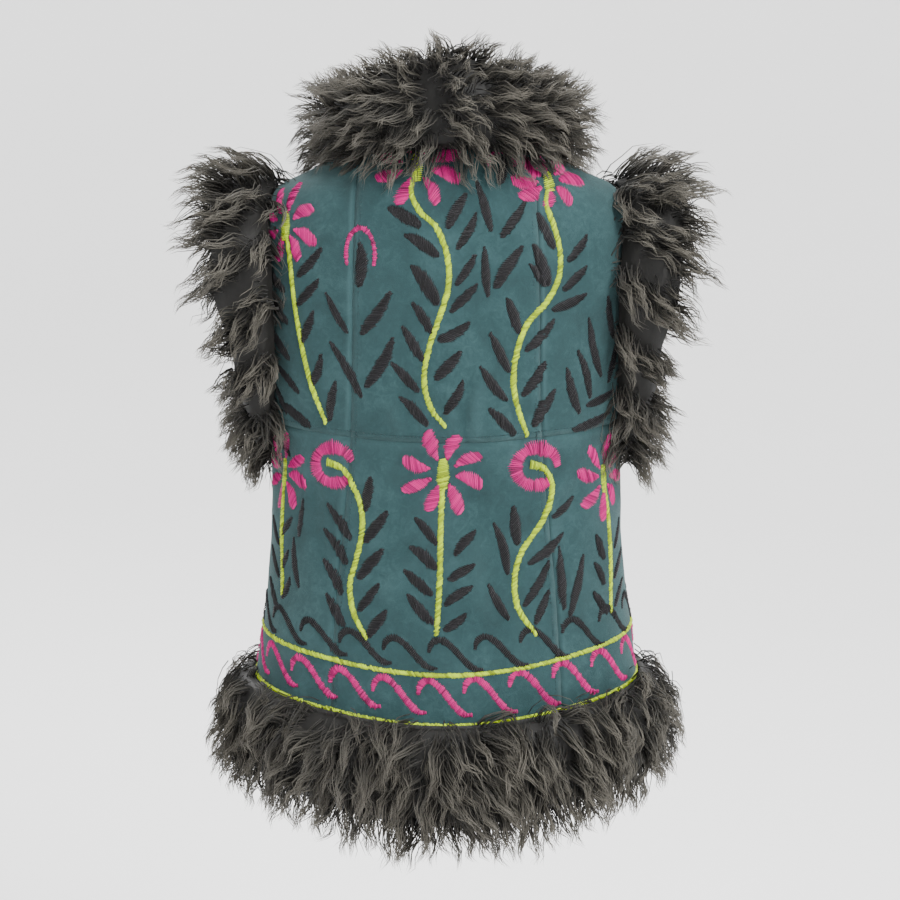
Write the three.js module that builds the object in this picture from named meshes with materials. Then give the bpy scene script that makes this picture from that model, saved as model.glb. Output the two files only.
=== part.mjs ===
// Embroidered folk vest: a suede vest with a fur collar, fur round the armholes and a fur hem,
// standing open and filled out as it is worn. Millimetres, +Z up, the wearer faces +Y,
// and the origin is the middle of the shoulder line, where the wearer carries it.
import * as THREE from "three";

// Cloth and seams
const WALL = 2.2;             // thickness of the suede
const GAP = 0.3;              // space between neighbouring pieces at a seam
const REST = 1.6;             // clearance of the fur above the suede it lies on
const FRONT_GAP = 4;          // the two fronts meet edge to edge with this much between them

// Lengths
const YOKE_SIDE = -246;       // height of the waist seam at the side
const YOKE_DIP = 9;           // how much lower it runs at the centre back
const HEM_SIDE = -498;        // height of the suede's lower edge at the side
const HEM_DIP = 24;           // how much lower it runs at the centre back
const NECK_BACK = 14;         // height of the neckline at the nape
const NECK_SIDE = 2;          // and where it crosses the shoulder
const NECK_FRONT = -74;       // and at the centre front
const PRINCESS = [            // half distance between the two long back seams: height, distance
  [20, 78],
  [-60, 83],
  [-262, 88],
  [-400, 101],
  [-560, 110],
];

// Armhole: an oval on the side of the form
const ARM_TOP = -30;          // shoulder point
const ARM_FOOT = -252;        // underarm
const ARM_BACK = 18;          // degrees it cuts into the back
const ARM_FRONT = 21;         // degrees it cuts into the front

// Fur
const COLLAR_TALL = 98;       // collar, nape to tips
const COLLAR_SIDE = 74;       // and beside the neck
const COLLAR_OUT = 52;        // collar, neckline to tips, outward
const ARM_FUR_TOP = 100;      // armhole fur, outward reach at the shoulder
const ARM_FUR_SIDE = 66;      // and beside the ribs
const ARM_FUR_FOOT = 36;      // and under the arm
const HEM_FUR_BACK = 114;     // hem fur, suede edge to tips, centre back
const HEM_FUR_SIDE = 96;      // and at the side
const HEM_FUR_OUT = 38;       // hem fur, outward reach

// The filled form, ring by ring: height, half width, depth to the back, depth to the front,
// squareness (2 is an oval, more is boxier).
const RINGS = [
  [24, 68, 60, 50, 2.0],
  [12, 73, 65, 55, 1.95],
  [0, 88, 71, 62, 1.9],
  [-12, 116, 79, 71, 1.85],
  [-34, 160, 92, 86, 1.95],
  [-70, 173, 102, 101, 2.1],
  [-140, 175, 110, 122, 2.2],
  [-200, 170, 112, 130, 2.2],
  [-262, 163, 108, 122, 2.2],
  [-320, 163, 106, 116, 2.2],
  [-400, 169, 112, 120, 2.2],
  [-460, 177, 119, 126, 2.2],
  [-530, 186, 127, 132, 2.2],
  [-600, 192, 132, 136, 2.2],
];

// Colours and surfaces
const SUEDE = { color: 0x3f6b6c, roughness: 0.92, metalness: 0 };
const FUR = { color: 0x4e4c47, roughness: 0.85, metalness: 0 };

const RIGHT = Math.PI / 2;
const radians = (degrees) => degrees * Math.PI / 180;
const mix = (a, b, t) => a + (b - a) * t;
const smooth = (t) => t * t * (3 - 2 * t);
const clamp = (t, low, high) => Math.min(high, Math.max(low, t));

// Smooth curve through the rows of a table whose first column falls; returns the other columns.
function through(table, at) {
  const last = table.length - 1;
  const x = clamp(at, table[last][0], table[0][0]);
  let k = 0;
  while (k < last - 1 && x < table[k + 1][0]) k += 1;
  const step = table[k + 1][0] - table[k][0];
  const t = (x - table[k][0]) / step;
  return table[k].slice(1).map((value, column) => {
    const c = column + 1;
    const slope = (i) => {
      const a = Math.max(0, i - 1);
      const b = Math.min(last, i + 1);
      return (table[b][c] - table[a][c]) / (table[b][0] - table[a][0]);
    };
    const next = table[k + 1][c];
    const h00 = (1 + 2 * t) * (1 - t) ** 2;
    const h10 = t * (1 - t) ** 2;
    const h01 = t * t * (3 - 2 * t);
    const h11 = t * t * (t - 1);
    return h00 * value + h10 * step * slope(k) + h01 * next + h11 * step * slope(k + 1);
  });
}

// Point of the form at a turn (0 at the centre back, + towards the right) and a height.
function form(turn, height) {
  const [half, back, front, square] = through(RINGS, height);
  const depth = Math.cos(turn) > 0 ? back : front;
  const across = Math.abs(Math.sin(turn)) / half;
  const along = Math.abs(Math.cos(turn)) / depth;
  const reach = (across ** square + along ** square) ** (-1 / square);
  return new THREE.Vector3(reach * Math.sin(turn), -reach * Math.cos(turn), height);
}

// Outward direction of the form.
function outward(turn, height) {
  const d = 0.01;
  const side = form(turn + d, height).sub(form(turn - d, height));
  const up = form(turn, height + 1).sub(form(turn, height - 1));
  return side.cross(up).normalize();
}

// Point a little way off the form.
function off(turn, height, distance) {
  return form(turn, height).addScaledVector(outward(turn, height), distance);
}

// Height reached by following the form down from a height for a given distance.
function downFrom(turn, height, distance) {
  const steps = 24;
  let z = height;
  for (let i = 0; i < steps; i += 1) {
    const run = form(turn, z).distanceTo(form(turn, z - 1));
    z -= distance / steps / run;
  }
  return z;
}

// Turn at which the form is a given distance from its middle plane, on the back.
function turnAt(distance, height) {
  let low = 0;
  let high = RIGHT;
  for (let i = 0; i < 40; i += 1) {
    const middle = (low + high) / 2;
    if (form(middle, height).x < distance) low = middle;
    else high = middle;
  }
  return (low + high) / 2;
}

// Seam and edge lines
const backShare = (turn) => Math.max(0, Math.cos(turn)) ** 1.5;
const yokeLine = (turn) => YOKE_SIDE - YOKE_DIP * backShare(turn);
const hemLine = (turn) => HEM_SIDE - HEM_DIP * backShare(turn);
const princess = (height) => turnAt(through(PRINCESS, height)[0], height);
function neckLine(turn) {
  const t = Math.abs(turn);
  if (t <= RIGHT) return mix(NECK_BACK, NECK_SIDE, smooth(t / RIGHT));
  return mix(NECK_SIDE, NECK_FRONT, smooth((t - RIGHT) / RIGHT));
}

// Armhole edge: turn and height at an angle round the oval (0 at the top, + towards the back).
function armEdge(angle, grow = 0) {
  const middle = (ARM_TOP + ARM_FOOT) / 2;
  const tall = (ARM_TOP - ARM_FOOT) / 2 + grow;
  const wide = radians(Math.sin(angle) > 0 ? ARM_BACK : ARM_FRONT) + grow / 165;
  return [RIGHT - wide * Math.sin(angle), middle + tall * Math.cos(angle)];
}

// How far the armhole cuts into the back (or front) at a height, as a turn.
function armCut(height, degrees) {
  const middle = (ARM_TOP + ARM_FOOT) / 2;
  const t = (height - middle) / ((ARM_TOP - ARM_FOOT) / 2);
  return Math.abs(t) < 1 ? radians(degrees) * Math.sqrt(1 - t * t) : 0;
}

// Mesh from lists of points and corner indices.
function mesh(name, points, faces, surface) {
  const geometry = new THREE.BufferGeometry();
  const flat = points.flatMap((p) => [p.x, p.y, p.z]);
  geometry.setAttribute("position", new THREE.Float32BufferAttribute(flat, 3));
  geometry.setIndex(faces);
  geometry.computeVertexNormals();
  const material = new THREE.MeshStandardMaterial(surface);
  material.name = surface === FUR ? "fur" : "suede";
  const part = new THREE.Mesh(geometry, material);
  part.name = name;
  return part;
}

// Suede piece: a grid of turns and heights, given an outer and an inner skin and a cut edge.
function panel(name, columns, rows, place) {
  const points = [];
  for (const depth of [0, WALL]) {
    for (let j = 0; j <= rows.length - 1; j += 1) {
      for (let i = 0; i <= columns; i += 1) {
        const [turn, height] = place(i / columns, rows[j]);
        points.push(off(turn, height, -depth));
      }
    }
  }
  const wide = columns + 1;
  const tall = rows.length;
  const at = (i, j, inner) => (inner ? wide * tall : 0) + j * wide + i;
  const faces = [];
  const quad = (a, b, c, d) => faces.push(a, b, c, a, c, d);
  for (let j = 0; j < tall - 1; j += 1) {
    for (let i = 0; i < columns; i += 1) {
      quad(at(i, j), at(i + 1, j), at(i + 1, j + 1), at(i, j + 1));
      quad(at(i, j, 1), at(i, j + 1, 1), at(i + 1, j + 1, 1), at(i + 1, j, 1));
    }
  }
  for (let i = 0; i < columns; i += 1) {
    quad(at(i, 0, 1), at(i + 1, 0, 1), at(i + 1, 0), at(i, 0));
    quad(at(i, tall - 1), at(i + 1, tall - 1), at(i + 1, tall - 1, 1), at(i, tall - 1, 1));
  }
  for (let j = 0; j < tall - 1; j += 1) {
    quad(at(0, j), at(0, j + 1), at(0, j + 1, 1), at(0, j, 1));
    quad(at(columns, j, 1), at(columns, j + 1, 1), at(columns, j + 1), at(columns, j));
  }
  return mesh(name, points, faces, SUEDE);
}

// Fur piece: closed outlines set one after another, joined end to end or capped.
function bundle(name, outlines, closed) {
  const points = outlines.flat();
  const round = outlines[0].length;
  const count = outlines.length;
  const faces = [];
  for (let k = 0; k < (closed ? count : count - 1); k += 1) {
    const here = k * round;
    const next = ((k + 1) % count) * round;
    for (let i = 0; i < round; i += 1) {
      const j = (i + 1) % round;
      faces.push(here + i, next + j, next + i, here + i, here + j, next + j);
    }
  }
  if (!closed) {
    for (const [base, flip] of [[0, false], [(count - 1) * round, true]]) {
      const outline = outlines[base / round];
      const centre = new THREE.Vector3();
      outline.forEach((p) => centre.addScaledVector(p, 1 / round));
      const axis = new THREE.Vector3();
      outline.forEach((p, i) => {
        const q = outline[(i + 1) % round];
        axis.add(p.clone().sub(centre).cross(q.clone().sub(centre)));
      });
      axis.normalize();
      const side = outline[0].clone().sub(centre).normalize();
      const other = axis.clone().cross(side);
      const drawn = outline.map((p) => {
        const d = p.clone().sub(centre);
        return new THREE.Vector2(d.dot(side), d.dot(other));
      });
      for (const [a, b, c] of THREE.ShapeUtils.triangulateShape(drawn, [])) {
        if (flip) faces.push(base + a, base + b, base + c);
        else faces.push(base + a, base + c, base + b);
      }
    }
  }
  return mesh(name, points, faces, FUR);
}

// Row positions: 0 to 1 from the hem to the waist seam, 1 to 2 from the waist seam to the neckline.
const steps = (from, to, count) => {
  return Array.from({ length: count + 1 }, (unused, i) => mix(from, to, i / count));
};
const LOWER_ROWS = steps(0, 1, 14);
const UPPER_ROWS = steps(1, 2, 18);

// Height of a row at a turn, with the waist seam moved up or down by half the gap.
// Above the waist seam the rows close up over the shoulder.
function rowHeight(turn, row, shift) {
  const yoke = yokeLine(turn) + shift;
  if (row <= 1) return mix(hemLine(turn), yoke, row);
  return mix(yoke, neckLine(turn), 1 - (2 - row) ** 1.7);
}

// Suede piece between two lines, each a turn depending on the height.
function piece(name, columns, rows, from, to, shift) {
  return panel(name, columns, rows, (u, row) => {
    let turn = mix(from(-200), to(-200), u);
    let height = 0;
    for (let pass = 0; pass < 6; pass += 1) {
      height = rowHeight(turn, row, shift);
      turn = mix(from(height), to(height), u);
    }
    return [turn, height];
  });
}

const asTurn = (distance, height) => distance / form(RIGHT / 2, height).length();
const half = GAP / 2;
const seamRight = (height) => princess(height) + asTurn(half, height);
const seamLeft = (height) => princess(height) - asTurn(half, height);
const backEdge = (height) => {
  return RIGHT - armCut(height, ARM_BACK) - half / form(RIGHT, height).length();
};
const frontEdge = (height) => {
  return RIGHT + armCut(height, ARM_FRONT) + half / form(RIGHT, height).length();
};
const closing = (height) => Math.PI - FRONT_GAP / 2 / form(Math.PI, height).length();
const minus = (line) => (height) => -line(height);

// Collar outline at a turn: it stands on the neckline and lies over the shoulder.
function collarOutline(turn) {
  const t = Math.abs(turn);
  const neck = neckLine(turn);
  const side = Math.sin(t) ** 2;
  const front = t > RIGHT ? smooth((t - RIGHT) / RIGHT) : 0;
  const tall = mix(mix(COLLAR_TALL, COLLAR_SIDE, side), 52, front);
  const out = COLLAR_OUT * mix(mix(1, 0.88, side), 0.72, front);
  const over = mix(mix(6, 44, side), 22, front);
  const base = form(turn, neck);
  const away = new THREE.Vector3(Math.sin(turn), -Math.cos(turn), 0);
  const at = (u, v) => base.clone().addScaledVector(away, u * out).setZ(base.z + v * tall);
  const low = off(turn, downFrom(turn, neck, over), REST);
  const brim = off(turn, downFrom(turn, neck, over), 0.2 * out).addScaledVector(away, 5);
  return [
    off(turn, neck, REST),
    at(-0.08, 0.3),
    at(-0.14, 0.62),
    at(-0.12, 0.9),
    at(0.04, 1.02),
    at(0.28, 0.97),
    at(0.54, 0.8),
    at(0.78, 0.55),
    at(0.96, 0.3),
    brim.lerp(at(0.9, 0.1), mix(0.6, 0.25, side)),
    low,
    off(turn, downFrom(turn, neck, over / 2), REST),
  ];
}

// Armhole outline at an angle round the oval, on the right or mirrored to the left.
function armOutline(angle, hand) {
  const [turn, height] = armEdge(angle, 0.2);
  const edge = form(turn, height);
  const normal = outward(turn, height);
  const [turn2, height2] = armEdge(angle, 1.2);
  const along = form(turn2, height2).sub(edge).normalize();
  const aside = new THREE.Vector3(0.65, 0, 0).addScaledVector(normal, 0.35).normalize();
  const low = (1 - Math.cos(angle)) / 2;
  const foot = smooth(clamp((low - 0.72) / 0.28, 0, 1));
  const top = smooth(clamp((0.34 - low) / 0.34, 0, 1));
  const flank = smooth(clamp((low - 0.36) / 0.34, 0, 1));
  const reach = mix(mix(ARM_FUR_TOP, ARM_FUR_SIDE, flank), ARM_FUR_FOOT, foot);
  const outer = mix(mix(30, 10, top), 60, foot);
  const inner = mix(mix(12, 34, top), 6, foot);
  const droop = mix(mix(22, 44, top), 6, foot);
  const at = (u, v) => {
    const w = v > 0 ? v * outer : v * inner;
    const p = edge.clone().addScaledVector(aside, u * reach).addScaledVector(along, w);
    p.z -= droop * u * u;
    return p;
  };
  const over = mix(9, 40, foot);
  const points = [
    at(0.03, -0.7),
    off(...armEdge(angle, 1), REST),
    off(...armEdge(angle, over), REST),
    at(0.34, mix(0.86, 1.2, foot)),
    at(0.66, 1),
    at(0.92, 0.56),
    at(1, 0),
    at(0.88, -0.7),
    at(0.6, -1),
    at(0.28, -1),
  ];
  if (hand > 0) return points.reverse();
  return points.map((p) => new THREE.Vector3(-p.x, p.y, p.z));
}

// Hem outline at a turn: a strip continuing the suede, with the fur standing off it.
function hemOutline(turn) {
  const edge = hemLine(turn);
  const base = form(turn, edge);
  const d = 0.01;
  const side = form(turn + d, edge).sub(form(turn - d, edge));
  const away = side.cross(new THREE.Vector3(0, 0, 1)).normalize();
  const tall = mix(HEM_FUR_SIDE, HEM_FUR_BACK, backShare(turn));
  const at = (u, v) => base.clone().addScaledVector(away, u).setZ(edge + v);
  const out = HEM_FUR_OUT;
  return [
    at(-WALL, -GAP),
    at(-WALL, -0.45 * tall),
    at(1, -0.86 * tall),
    at(0.4 * out, -tall),
    at(0.78 * out, -0.96 * tall),
    at(1.04 * out, -0.74 * tall),
    at(1.06 * out, -0.46 * tall),
    at(0.94 * out, -0.14 * tall),
    at(0.62 * out, 8),
    off(turn, edge + 13, 6),
    off(turn, edge + 13, REST),
    off(turn, edge, REST).setZ(edge - GAP),
  ].reverse();
}

const vest = new THREE.Group();
vest.name = "embroidered_folk_vest";

// Suede body
vest.add(
  piece("back_yoke_centre", 10, UPPER_ROWS, minus(seamLeft), seamLeft, half),
  piece("back_yoke_right", 8, UPPER_ROWS, seamRight, backEdge, half),
  piece("back_yoke_left", 8, UPPER_ROWS, minus(backEdge), minus(seamRight), half),
  piece("back_lower_centre", 10, LOWER_ROWS, minus(seamLeft), seamLeft, -half),
  piece("back_lower_right", 8, LOWER_ROWS, seamRight, backEdge, -half),
  piece("back_lower_left", 8, LOWER_ROWS, minus(backEdge), minus(seamRight), -half),
);
const FRONT_ROWS = [...LOWER_ROWS, ...UPPER_ROWS.slice(1)];
vest.add(
  piece("front_right", 13, FRONT_ROWS, frontEdge, closing, 0),
  piece("front_left", 13, FRONT_ROWS, minus(closing), minus(frontEdge), 0),
);

// Fur
const collarEnd = Math.PI - radians(5);
vest.add(bundle("collar_fur", steps(-collarEnd, collarEnd, 44).map(collarOutline), false));
const round = steps(0, 2 * Math.PI, 36).slice(0, -1);
vest.add(bundle("armhole_fur_right", round.map((a) => armOutline(a, 1)), true));
vest.add(bundle("armhole_fur_left", round.map((a) => armOutline(a, -1)), true));
const seam = half / 180;
const hemEnd = Math.PI - FRONT_GAP / 2 / 120;
vest.add(
  bundle("hem_fur_back", steps(-RIGHT + seam, RIGHT - seam, 22).map(hemOutline), false),
  bundle("hem_fur_right", steps(RIGHT + seam, hemEnd, 11).map(hemOutline), false),
  bundle("hem_fur_left", steps(-hemEnd, -RIGHT - seam, 11).map(hemOutline), false),
);

export default vest;
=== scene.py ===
"""Embroidered folk vest: suede body with satin-stitch flowers, long-haired fur trim, and its stage.

Laid out as an add-on and run as a script. Lengths inside are millimetres; meshes are in metres.
The form is the same ring-by-ring shape as the solids, so every piece lies where its solid does.
A place on the suede is its "across" (distance from the centre back, measured round the body,
+ towards the right seen from behind) and its "height" (0 at the shoulder line, + upwards).
"""
import math

import bpy
import numpy as np
from bpy.props import FloatProperty, FloatVectorProperty, IntProperty, PointerProperty
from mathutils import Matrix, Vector


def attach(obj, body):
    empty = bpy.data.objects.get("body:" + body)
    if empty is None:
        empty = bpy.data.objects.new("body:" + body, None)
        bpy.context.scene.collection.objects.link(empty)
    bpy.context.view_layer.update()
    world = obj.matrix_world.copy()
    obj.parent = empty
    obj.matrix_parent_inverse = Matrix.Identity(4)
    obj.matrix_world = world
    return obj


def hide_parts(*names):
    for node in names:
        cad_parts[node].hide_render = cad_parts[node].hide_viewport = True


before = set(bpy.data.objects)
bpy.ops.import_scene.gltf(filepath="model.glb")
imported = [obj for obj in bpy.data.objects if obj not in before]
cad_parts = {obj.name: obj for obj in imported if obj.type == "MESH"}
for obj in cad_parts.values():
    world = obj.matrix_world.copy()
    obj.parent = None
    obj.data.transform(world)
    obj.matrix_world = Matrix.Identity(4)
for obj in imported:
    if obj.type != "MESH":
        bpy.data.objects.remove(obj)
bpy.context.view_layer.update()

bl_info = {
    "name": "Embroidered folk vest",
    "version": (1, 0, 0),
    "blender": (4, 5, 0),
    "location": "View3D > Sidebar > Vest",
    "description": "Suede vest with satin-stitch embroidery and long-haired fur trim",
    "category": "Object",
}

MM = 0.001
RIGHT = math.pi / 2
SEED = 20
# Steps that scatter points evenly over a rectangle: 1/g and 1/g^2, where g^3 = g + 1
SCATTER = (0.7548776662, 0.5698402910)

# Cut and seams, the same sizes as the solids
WALL = 2.2
GAP = 0.3
FRONT_GAP = 4.0
YOKE_SIDE, YOKE_DIP = -246.0, 9.0
HEM_SIDE, HEM_DIP = -498.0, 24.0
NECK_BACK, NECK_SIDE, NECK_FRONT = 14.0, 2.0, -74.0
ARM_TOP, ARM_FOOT = -30.0, -252.0
ARM_BACK, ARM_FRONT = 18.0, 21.0
BODY_RADIUS = 165.0
TOPSTITCH_BESIDE, TOPSTITCH_PITCH, TOPSTITCH_LENGTH = 5.6, 3.3, 2.3

# height, half distance between the two long back seams
PRINCESS = np.array([[-560, 110], [-400, 101], [-262, 88], [-60, 83], [20, 78]], float)

# height, half width, depth to the back, depth to the front, squareness
RINGS = np.array([
    [-600, 192, 132, 136, 2.2],
    [-530, 186, 127, 132, 2.2],
    [-460, 177, 119, 126, 2.2],
    [-400, 169, 112, 120, 2.2],
    [-320, 163, 106, 116, 2.2],
    [-262, 163, 108, 122, 2.2],
    [-200, 170, 112, 130, 2.2],
    [-140, 175, 110, 122, 2.2],
    [-70, 173, 102, 101, 2.1],
    [-34, 160, 92, 86, 1.95],
    [-12, 116, 79, 71, 1.85],
    [0, 88, 71, 62, 1.9],
    [12, 73, 65, 55, 1.95],
    [24, 68, 60, 50, 2.0],
])


# ---------------------------------------------------------------- the form

def mix(a, b, t):
    return a + (b - a) * t


def smooth(t):
    t = np.clip(t, 0, 1)
    return t * t * (3 - 2 * t)


def unit(v):
    return v / np.maximum(np.linalg.norm(v, axis=-1, keepdims=True), 1e-9)


def through(table, at):
    """Smooth curve through the rows of a table: a cubic with the slope of the two neighbouring rows
    at each row. Returns the other columns, one array each."""
    x = table[:, 0]
    at = np.clip(at, x[0], x[-1])
    k = np.clip(np.searchsorted(x, at) - 1, 0, len(x) - 2)
    step = x[k + 1] - x[k]
    t = (at - x[k]) / step
    last = len(x) - 1
    before = np.maximum(np.arange(len(x)) - 1, 0)
    after = np.minimum(np.arange(len(x)) + 1, last)
    out = []
    for column in range(1, table.shape[1]):
        v = table[:, column]
        slope = (v[after] - v[before]) / (x[after] - x[before])
        out.append((2 * t**3 - 3 * t**2 + 1) * v[k] + (t**3 - 2 * t**2 + t) * step * slope[k]
                   + (3 * t**2 - 2 * t**3) * v[k + 1] + (t**3 - t**2) * step * slope[k + 1])
    return out


def form(turn, height):
    """Point of the filled form: on the ring at that height, reach = (|sin/half|^n +
    |cos/depth|^n)^(-1/n) in the direction of the turn, which is 0 at the centre back and + towards
    the right."""
    turn, height = np.broadcast_arrays(np.asarray(turn, float), np.asarray(height, float))
    half, back, front, square = through(RINGS, height)
    s, c = np.sin(turn), np.cos(turn)
    depth = np.where(c > 0, back, front)
    reach = ((np.abs(s) / half) ** square + (np.abs(c) / depth) ** square) ** (-1 / square)
    return np.stack([reach * s, -reach * c, height], -1)


def outward(turn, height):
    """Outward direction of the form, from the cross product of its two slopes."""
    d = 0.01
    side = form(turn + d, height) - form(turn - d, height)
    up = form(turn, height + 1) - form(turn, height - 1)
    return unit(np.cross(side, up))


def back_share(turn):
    return np.maximum(0, np.cos(turn)) ** 1.5


def yoke_line(turn):
    return YOKE_SIDE - YOKE_DIP * back_share(turn)


def hem_line(turn):
    return HEM_SIDE - HEM_DIP * back_share(turn)


def neck_line(turn):
    t = np.abs(turn)
    back = mix(NECK_BACK, NECK_SIDE, smooth(t / RIGHT))
    return np.where(t <= RIGHT, back, mix(NECK_SIDE, NECK_FRONT, smooth((t - RIGHT) / RIGHT)))


def princess_turn(height):
    """Turn of the long back seam: the turn, found by halving, at which the form is that far out."""
    distance = through(PRINCESS, height)[0]
    low, high = np.zeros_like(distance), np.full_like(distance, RIGHT)
    for _ in range(40):
        middle = (low + high) / 2
        short = form(middle, height)[..., 0] < distance
        low, high = np.where(short, middle, low), np.where(short, high, middle)
    return (low + high) / 2


def arm_cut(height, degrees):
    """How far the oval armhole cuts in at a height, as a turn."""
    t = (height - (ARM_TOP + ARM_FOOT) / 2) / ((ARM_TOP - ARM_FOOT) / 2)
    return np.radians(degrees) * np.sqrt(np.clip(1 - t * t, 0, 1))


def arm_edge(angle, grow=0.0):
    """Turn and height on the armhole's edge; angle 0 at the shoulder, + round by the back."""
    tall = (ARM_TOP - ARM_FOOT) / 2 + grow
    wide = np.radians(np.where(np.sin(angle) > 0, ARM_BACK, ARM_FRONT)) + grow / BODY_RADIUS
    return RIGHT - wide * np.sin(angle), (ARM_TOP + ARM_FOOT) / 2 + tall * np.cos(angle)


# Distances round the body, worked out once: rows of heights by columns of turns, and back again
TABLE_HEIGHTS = np.arange(-612.0, 26.0, 2.0)
TABLE_TURNS = np.linspace(0, math.pi, 361)
TABLE_ACROSS = np.arange(0.0, 640.0, 2.0)
_rings = form(TABLE_TURNS[None, :], TABLE_HEIGHTS[:, None])
_steps = np.linalg.norm(np.diff(_rings, axis=1), axis=-1)
ROUND = np.concatenate([np.zeros((len(TABLE_HEIGHTS), 1)), np.cumsum(_steps, 1)], 1)
TURNS = np.array([np.interp(TABLE_ACROSS, row, TABLE_TURNS) for row in ROUND])


def look_up(table, rows, columns):
    """Straight-line reading between the four nearest entries of a table."""
    rows = np.clip(rows, 0, table.shape[0] - 1.001)
    columns = np.clip(columns, 0, table.shape[1] - 1.001)
    i, j = rows.astype(int), columns.astype(int)
    u, v = rows - i, columns - j
    return ((1 - u) * ((1 - v) * table[i, j] + v * table[i, j + 1])
            + u * ((1 - v) * table[i + 1, j] + v * table[i + 1, j + 1]))


def turn_of(across, height):
    rows = (height - TABLE_HEIGHTS[0]) / 2.0
    return np.sign(across) * look_up(TURNS, rows, np.abs(across) / 2.0)


def across_of(turn, height):
    rows = (height - TABLE_HEIGHTS[0]) / 2.0
    return np.sign(turn) * look_up(ROUND, rows, np.abs(turn) / math.pi * 360)


# ---------------------------------------------------------------- soft folds of the suede

# Folds placed one by one: across and height of one end and of the other, rise (- is a trough) and
# half width
FOLDS = np.array([
    [23, -196, 19, -252, -3.4, 6],
    [31, -200, 28, -250, 2.2, 7],
    [12, -206, 8, -250, 1.6, 6],
    [-36, -204, -24, -244, -1.8, 6],
    [-48, -214, -40, -246, 1.4, 6],
    [-66, -132, -96, -172, -1.3, 9],
    [70, -60, 62, -150, 1.2, 10],
    [-14, -276, -46, -338, -1.6, 8],
    [-30, -352, -66, -384, -2.0, 8],
    [-24, -362, -58, -398, 1.5, 8],
    [-52, -320, -64, -372, 1.2, 9],
    [16, -300, 44, -326, -1.5, 8],
    [30, -338, 42, -416, 1.6, 10],
    [48, -352, 54, -430, -1.3, 8],
    [112, -292, 90, -340, 1.6, 9],
    [128, -300, 112, -372, -1.6, 9],
    [-126, -300, -112, -366, -1.6, 9],
    [-138, -286, -128, -330, 1.5, 8],
    [-160, -262, -186, -330, -2.2, 10],
    [160, -262, 190, -332, -2.0, 10],
    [-196, -268, -226, -352, 2.0, 12],
    [200, -268, 232, -350, 1.8, 12],
    [-36, -462, -12, -500, -1.0, 9],
    [62, -446, 92, -486, 1.2, 9],
    [-120, -426, -150, -470, 1.2, 10],
    [138, -410, 156, -452, -1.2, 9],
    [-140, -78, -126, -150, 1.3, 11],
    [128, -74, 134, -150, -1.2, 10],
    [240, -292, 262, -392, -2.2, 12],
    [-246, -296, -272, -386, -1.9, 11],
    [300, -236, 326, -330, -1.6, 12],
    [-306, -240, -340, -322, -1.8, 12],
    [330, -260, 372, -400, 1.7, 14],
    [-338, -270, -372, -394, 1.8, 13],
    [410, -180, 396, -300, -1.4, 12],
    [-404, -186, -414, -312, -1.5, 12],
    [280, -96, 330, -150, 1.5, 13],
    [-284, -92, -334, -140, 1.3, 13],
    [430, -330, 440, -460, 1.4, 13],
    [-436, -340, -430, -452, 1.3, 12],
    [352, -420, 340, -486, -1.4, 10],
    [-346, -414, -352, -484, -1.3, 10],
], float)


def seam_distances(across, height):
    """Distance in mm to the long back seams, to the waist seam, and to the side and shoulder
    seam."""
    turn = turn_of(across, height)
    long_seam = np.abs(np.abs(across) - across_of(princess_turn(height), height))
    waist = np.where(np.abs(turn) < RIGHT, np.abs(height - yoke_line(turn)), 99.0)
    side = np.abs(np.abs(across) - across_of(np.full_like(height, RIGHT), height))
    return long_seam, waist, side


def relief(across, height):
    """How far the suede stands off the form: gentle waves of the whole hide, the placed folds
    (a bell across each line, eased at its ends), rolled edges and puckers beside the seams."""
    across, height = np.broadcast_arrays(np.asarray(across, float), np.asarray(height, float))
    rise = (0.7 * np.sin(across / 31 + 1.3 * np.sin(height / 47)) * np.sin(height / 39 + 0.8)
            + 0.4 * np.sin(across / 13.5 + height / 29 + 2 * np.sin(height / 61)))
    rise *= smooth((40 - height) / 90)
    for a0, h0, a1, h1, depth, width in FOLDS:
        along = np.array([a1 - a0, h1 - h0])
        length = np.hypot(*along)
        da, dh = across - a0, height - h0
        t = (da * along[0] + dh * along[1]) / length**2
        bow = 0.10 * length * np.sin(math.pi * np.clip(t, 0, 1))
        away = (da * along[1] - dh * along[0]) / length - bow
        ends = smooth(t / 0.3 + 0.5) * smooth((1 - t) / 0.3 + 0.5)
        rise += depth * np.exp(-(away / width) ** 2) * ends
    long_seam, waist, side = seam_distances(across, height)
    puckers = 0.3 * np.sin(height / 4.1 + 2 * np.sin(height / 23)) * np.exp(-long_seam / 7)
    puckers += 0.3 * np.sin(across / 4.3 + 2 * np.sin(across / 27)) * np.exp(-waist / 7)
    near = np.minimum(np.where(np.abs(across) < 135, long_seam, 99), np.minimum(waist, side))
    rolled = -1.0 * np.exp(-(near / 1.5) ** 2) + 0.45 * np.exp(-((near - 3.2) / 1.8) ** 2)
    stitched = -0.35 * np.exp(-((near - 5.6) / 1.2) ** 2)
    return rise + puckers + rolled + stitched


def on_suede(across, height, lift=0.0):
    """Point on the suede, moved out along the form's normal by the relief and a lift."""
    turn = turn_of(across, height)
    off = (relief(across, height) + lift)[..., None]
    return form(turn, height) + outward(turn, height) * off


# ---------------------------------------------------------------- meshes and materials

def linear(code):
    """sRGB hex to linear red, green, blue and 1."""
    channels = [int(code[i:i + 2], 16) / 255 for i in (1, 3, 5)]
    return (*[c / 12.92 if c <= 0.04045 else ((c + 0.055) / 1.055) ** 2.4 for c in channels], 1.0)


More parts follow.
